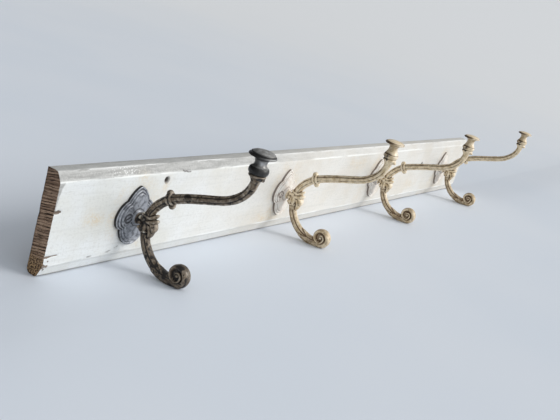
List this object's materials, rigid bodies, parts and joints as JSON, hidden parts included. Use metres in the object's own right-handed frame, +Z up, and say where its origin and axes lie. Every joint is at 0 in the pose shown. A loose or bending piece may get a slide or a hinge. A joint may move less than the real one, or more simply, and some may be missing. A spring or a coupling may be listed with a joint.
{
  "type": "wall hook rack",
  "caption": "Bevelled wooden wall board with a row of antique double hat-and-coat hooks on stepped backplates, each with a mushroom knob above and a scrolled hook below.",
  "frame": {"origin": "centre of the board's flat back face, which lies against the wall", "axes": "+X along the board to the right as seen from the room, +Y into the wall, +Z up; the hooks stand out towards -Y"},
  "size_m": [1.01, 0.1515, 0.1638],
  "materials": {
    "board_paint": "worn white paint over brown wood, raw at the ends",
    "plate_steel": "bare blue-grey pressed steel, dull",
    "plate_cream": "cream paint, rubbed through on the edges",
    "iron_brown": "brown-black bare cast iron with worn highlights",
    "metal_cream": "thin tan and cream paint over brown metal",
    "knob_iron": "dark grey iron, polished by handling",
    "screw_steel": "dull steel",
    "stud_steel": "plain steel, hidden"
  },
  "bodies": {
    "root": {"board": "board_paint", "backplate_1": "plate_steel", "casting_1": "iron_brown", "knob_1": "knob_iron", "stud_1": "stud_steel", "screw_left_1": "screw_steel", "screw_right_1": "screw_steel", "backplate_2": "plate_cream", "casting_2": "metal_cream", "knob_2": "metal_cream", "stud_2": "stud_steel", "screw_left_2": "plate_cream", "screw_right_2": "plate_cream", "backplate_3": "plate_cream", "casting_3": "metal_cream", "knob_3": "metal_cream", "stud_3": "stud_steel", "screw_left_3": "plate_cream", "screw_right_3": "plate_cream", "backplate_4": "plate_cream", "casting_4": "metal_cream", "knob_4": "metal_cream", "stud_4": "stud_steel", "screw_left_4": "plate_cream", "screw_right_4": "plate_cream"}
  },
  "joints": []
}
